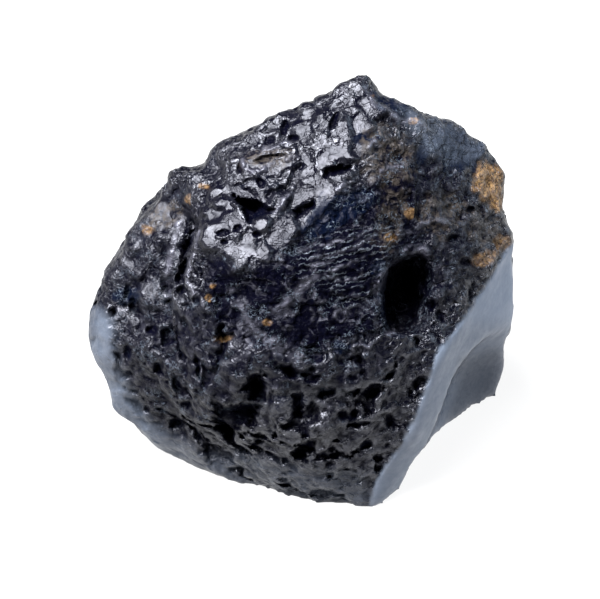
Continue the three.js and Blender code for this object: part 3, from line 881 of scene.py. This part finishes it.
class Nodes:
    """Adds nodes to a material. An input is given as a value or as the socket that feeds it."""

    def __init__(self, name):
        self.material = bpy.data.materials.new(name)
        self.material.use_nodes = True
        self.tree = self.material.node_tree
        self.shader = self.tree.nodes["Principled BSDF"]

    def feed(self, socket, value):
        if isinstance(value, bpy.types.NodeSocket):
            self.tree.links.new(value, socket)
        else:
            socket.default_value = value

    def set(self, node, inputs):
        for name, value in inputs.items():
            self.feed(node.inputs[name], value)

    def add(self, kind, inputs=None, output=0, **settings):
        node = self.tree.nodes.new("ShaderNode" + kind)
        for name, value in settings.items():
            setattr(node, name, value)
        self.set(node, inputs or {})
        return node.outputs[output]

    def math(self, operation, first, second=0.0):
        return self.add("Math", {0: first, 1: second}, operation=operation)

    def times(self, first, *others):
        for value in others:
            first = self.math("MULTIPLY", first, value)
        return first

    def plus(self, first, *others):
        for value in others:
            first = self.math("ADD", first, value)
        return first

    def greatest(self, first, *others):
        for value in others:
            first = self.math("MAXIMUM", first, value)
        return first

    def without(self, value, share=1.0):
        """1 less a share of the value."""
        return self.math("SUBTRACT", 1.0, self.times(value, share))

    def scaled(self, value, low, high, start=0.0, end=1.0):
        """low up to start, high from end, a straight line between."""
        inputs = {"Value": value, "From Min": start, "From Max": end}
        return self.add("MapRange", inputs | {"To Min": low, "To Max": high})

    def ramp(self, value, low, high):
        """0 up to low, 1 from high, smooth between."""
        inputs = {"Value": value, "From Min": low, "From Max": high}
        return self.add("MapRange", inputs, interpolation_type="SMOOTHSTEP")

    def attribute(self, name):
        return self.add("Attribute", output="Fac", attribute_name=name)

    def noise(self, spacing, detail, distortion=0.0, keep=0.5):
        """Noise from 0 to 1 with bumps of the given spacing in mm and detail finer octaves."""
        inputs = {"Vector": self.place(), "Scale": 1 / (spacing * MM), "Detail": detail}
        inputs |= {"Roughness": keep, "Distortion": distortion}
        return self.add("TexNoise", inputs)

    def from_middle(self, noise):
        """0 along lines where the noise has its middle value, up to 0.5 beside them."""
        return self.math("ABSOLUTE", self.math("SUBTRACT", noise, 0.5))

    def place(self):
        return self.add("TexCoord", output="Object")

    def wrinkles(self):
        """Waving crests across the front that rise a little to the right."""
        inputs = {0: self.place(), 1: WRINKLE_AXIS}
        across = self.add("VectorMath", inputs, "Value", operation="DOT_PRODUCT")
        turns = self.times(across, 2 * math.pi / (WRINKLE_SPACING * MM))
        wander = self.times(self.noise(0.7, 4.0, distortion=0.8, keep=0.65), WRINKLE_WANDER)
        wave = self.math("SINE", self.plus(turns, wander))
        return self.ramp(wave, 0.56, 1.0)

    def chips(self, spacing):
        """Small flat facets side by side, each leaning its own way. About -0.3 to 0.3."""
        inputs = {"Vector": self.place(), "Scale": 1.2 / (spacing * MM)}
        wobble = self.add("TexNoise", inputs, "Color")
        reach = (0.5 * spacing * MM,) * 3
        wobble = self.add("VectorMath", {0: wobble, 1: reach}, operation="MULTIPLY")
        place = self.add("VectorMath", {0: self.place(), 1: wobble})
        inputs = {"Vector": place, "Scale": 1 / (spacing * MM), "Smoothness": 0.3}
        voronoi = self.add("TexVoronoi", inputs, "Color", feature="SMOOTH_F1")
        lean = self.add("VectorMath", {0: voronoi, 1: (0.5, 0.5, 0.5)}, operation="SUBTRACT")
        middle = voronoi.node.outputs["Position"]
        away = self.add("VectorMath", {0: place, 1: middle}, operation="SUBTRACT")
        height = self.add("VectorMath", {0: away, 1: lean}, "Value", operation="DOT_PRODUCT")
        return self.times(height, 1 / (spacing * MM))

    def mix(self, share, first, second):
        """Of two colours."""
        node = self.tree.nodes.new("ShaderNodeMix")
        node.data_type = "RGBA"
        for name, value in {"Factor": share, "A": first, "B": second}.items():
            self.feed(next(i for i in node.inputs if i.name == name and i.enabled), value)
        return next(o for o in node.outputs if o.enabled)

    def bump(self, height, rise, normal=None):
        """rise is in mm. normal is the bump under this one."""
        inputs = {"Height": height, "Distance": rise * MM, "Strength": 1.0}
        if normal:
            inputs["Normal"] = normal
        return self.add("Bump", inputs)


WRINKLE_SPACING = 0.27  # mm
WRINKLE_AXIS = tuple(0.97 * UP - 0.25 * RIGHT)
WRINKLE_WANDER = 19.0  # radians of the wave

NEARLY_BLACK = (0.0010, 0.0010, 0.0037, 1)
NAVY = (0.0013, 0.0026, 0.0085, 1)
BROWN = (0.031, 0.026, 0.023, 1)  # a film, mostly on the right
PAINTED_REFLECTION_AND_WEAR = (0.045, 0.045, 0.060, 1)  # grey of the thin film, a painted reflection of the floor, and of the worn crests, partly a painted highlight
PALE_WEAR_AND_PAINTED_GLINT = (0.085, 0.105, 0.135, 1)  # hairlines and wrinkles: partly wear, partly painted highlight
OCHRE = (0.225, 0.135, 0.058, 1)
RUST = (0.085, 0.045, 0.02, 1)  # between the ochre
# pale colour of the smooth face, the rim and two patches: partly frost, partly a painted reflection of
# the floor
FROST_AND_PAINTED_SHEEN = (0.145, 0.175, 0.23, 1)
SHEEN = (0.86, 0.88, 1.0, 1)  # colour of the reflections
IOR = 1.62  # corundum has 1.77, and a little less suits its worn skin
GLOSS, GLOSS_LOST = 0.46, 0.44  # specular level, and how much of it the dull places lose


def painted_reflection_film_share(n):
    """How much of the thin grey film there is, a painted reflection of the floor. The blue and the
    wrinkled places get less of it.
    """
    patches = n.ramp(n.noise(0.7, 4.0, distortion=1.3), 0.54, 0.64)
    clean = n.greatest(n.times(n.attribute("blue"), 0.6), n.times(n.attribute("wrinkled"), 0.95))
    return n.times(patches, 0.33, n.without(clean))


def hairlines(n):
    """Thin pale lines in the dull part of the front, but not among the wrinkles."""
    lines = n.from_middle(n.noise(0.36, 3.0, distortion=1.4))
    lines = n.without(n.ramp(lines, 0.004, 0.032))
    places = n.ramp(n.noise(0.8, 3.0), 0.5, 0.6)
    return n.times(lines, places, n.attribute("dull"), n.without(n.attribute("wrinkled")))


def stone_colour(n, brown, painted_reflection_film, hairs, wrinkles):
    patches = n.ramp(n.plus(n.noise(1.1, 4.0, distortion=0.6), n.attribute("blue")), 0.55, 0.95)
    colour = n.mix(patches, NEARLY_BLACK, NAVY)
    colour = n.mix(brown, colour, BROWN)
    crust = n.mix(n.ramp(n.noise(0.16, 3.0), 0.35, 0.65), RUST, OCHRE)
    colour = n.mix(n.attribute("ochre"), colour, crust)
    # Painted reflection of the floor in the dull places, and the worn crests, partly painted highlight,
    # in one grey.
    painted_reflection_and_wear = n.greatest(n.attribute("crest_wear_and_painted_glint"), n.times(painted_reflection_film, n.attribute("dull")))
    colour = n.mix(painted_reflection_and_wear, colour, PAINTED_REFLECTION_AND_WEAR)
    # Pale hairlines and wrinkle crests: partly wear, partly painted highlight.
    colour = n.mix(n.times(hairs, 0.9), colour, PALE_WEAR_AND_PAINTED_GLINT)
    colour = n.mix(n.times(wrinkles, 0.5), colour, PALE_WEAR_AND_PAINTED_GLINT)
    # The pale colour, partly frost and partly a painted reflection of the floor.
    return n.mix(n.attribute("frost_and_painted_sheen"), colour, FROST_AND_PAINTED_SHEEN)


def stone_roughness(n, brown):
    polish = n.scaled(n.ramp(n.noise(0.5, 3.0), 0.3, 0.7), 0.22, 0.38)
    covered = n.greatest(n.attribute("ochre"), brown, n.attribute("frost_and_painted_sheen"))
    return n.plus(polish, n.times(covered, 0.25), n.times(n.attribute("dull"), 0.08))


def stone_normal(n, hairs, wrinkles, smooth_places):
    """Etched patches, chips of two sizes, grains, hairlines, wrinkles and a fine tooth."""
    rough = n.without(n.attribute("calm"))
    etched = n.ramp(n.from_middle(n.noise(0.35, 2.0, distortion=1.2)), 0.0, 0.10)
    etched = n.times(etched, rough, n.ramp(n.noise(1.6, 2.0), 0.38, 0.58))
    normal = n.bump(etched, 0.014)
    grainy = n.times(rough, n.attribute("grainy"))
    unbroken = n.greatest(n.times(n.attribute("flat"), 0.8), smooth_places)
    chipped = n.plus(n.times(grainy, 0.75), n.times(rough, 0.3))
    chipped = n.times(chipped, n.without(unbroken), n.without(n.attribute("dull"), 0.45))
    normal = n.bump(n.times(n.chips(0.5), chipped), 0.34, normal)
    normal = n.bump(n.times(n.chips(0.2), chipped), 0.09, normal)
    normal = n.bump(n.times(n.noise(0.13, 2.0), grainy), 0.006, normal)
    normal = n.bump(hairs, 0.012, normal)
    normal = n.bump(wrinkles, 0.08, normal)
    return n.bump(n.noise(0.05, 1.0), 0.0025, normal)


def stone_gloss(n, painted_reflection_film, wrinkles):
    """The specular level. It is low where the floor's reflection would grey a dark place."""
    bare = n.greatest(n.times(n.attribute("dull"), n.without(painted_reflection_film)), n.attribute("wrinkled"))
    gloss = n.math("SUBTRACT", GLOSS, n.times(bare, GLOSS_LOST))
    crest = n.scaled(n.attribute("crest"), 0.15, 1.35)
    mottled = n.scaled(n.noise(0.3, 4.0, distortion=1.0), 0.6, 1.25, start=0.35, end=0.65)
    gloss = n.times(gloss, n.times(crest, mottled))
    gloss = n.plus(gloss, n.times(wrinkles, 0.6), n.times(n.attribute("crest_wear_and_painted_glint"), 0.12))
    return n.times(gloss, n.without(n.attribute("void"), 0.9))


def stone_material():
    n = Nodes("rough_sapphire")
    painted_reflection_film = painted_reflection_film_share(n)
    hairs = hairlines(n)
    brown = n.times(n.attribute("brown"), n.ramp(n.noise(0.28, 4.0, distortion=0.8), 0.38, 0.62))
    wrinkled = n.times(n.attribute("wrinkled"), n.ramp(n.noise(0.6, 2.0), 0.40, 0.56))
    wrinkles = n.times(n.wrinkles(), wrinkled)
    look = {
        "Base Color": stone_colour(n, brown, painted_reflection_film, hairs, wrinkles),
        "Roughness": stone_roughness(n, brown),
        "Normal": stone_normal(n, hairs, wrinkles, wrinkled),
        "Specular IOR Level": stone_gloss(n, painted_reflection_film, wrinkles),
        "Specular Tint": SHEEN,
        "IOR": IOR,
    }
    n.set(n.shader, look)
    return n.material


FLOOR_GREY = (0.12, 0.12, 0.12, 1)  # low, so that the stone's shadow on the floor stays faint
FLOOR_GLOW = 0.9  # of white, which makes the floor as pale as the photo's


def floor_material():
    n = Nodes("white_floor")
    look = {
        "Base Color": FLOOR_GREY,
        "Roughness": 1,
        "Specular IOR Level": 0,
        "Emission Color": (1, 1, 1, 1),
        "Emission Strength": FLOOR_GLOW,
    }
    n.set(n.shader, look)
    return n.material


# ---------------- studio

FLOOR_REACH = 2.0  # m from the stone
LIGHT_AIM = Vector((0, 0, 0.008))  # m, the stone's middle
SOFTBOX = {"place": (-0.099, -0.026, 0.202), "side": 0.20, "power": 3.4, "colour": (1, 1, 1)}
FILL = {"place": (0.22, 0.06, 0.11), "side": 0.22, "power": 0.5, "colour": (0.75, 0.88, 1)}
STUDIO_GREY = (0.035, 0.038, 0.05, 1)


def add_floor():
    mesh = bpy.data.meshes.new("floor")
    far = FLOOR_REACH
    corners = [(-far, -far, 0), (far, -far, 0), (far, far, 0), (-far, far, 0)]
    mesh.from_pydata(corners, [], [(0, 1, 2, 3)])
    floor = bpy.data.objects.new("floor", mesh)
    bpy.context.collection.objects.link(floor)
    mesh.materials.append(floor_material())


def add_softbox(name, place, side, power, colour):
    """A square light panel, aimed at the stone. place and side are in m, power in W."""
    light = bpy.data.lights.new(name, "AREA")
    light.shape = "SQUARE"
    light.size = side
    light.energy = power
    light.color = colour
    softbox = bpy.data.objects.new(name, light)
    bpy.context.collection.objects.link(softbox)
    softbox.location = place
    aim = LIGHT_AIM - softbox.location
    softbox.rotation_euler = aim.to_track_quat("-Z", "Y").to_euler()
    softbox.visible_camera = False


def add_world():
    world = bpy.data.worlds.new("studio")
    bpy.context.scene.world = world
    world.use_nodes = True
    world.node_tree.nodes["Background"].inputs["Color"].default_value = STUDIO_GREY


bpy.context.scene.view_settings.view_transform = "Standard"
add_camera()
add_floor()
add_softbox("softbox", **SOFTBOX)
add_softbox("fill", **FILL)
add_world()

stone = build_stone()
stone.data.materials.append(stone_material())
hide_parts("sapphire")
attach(stone, "root")
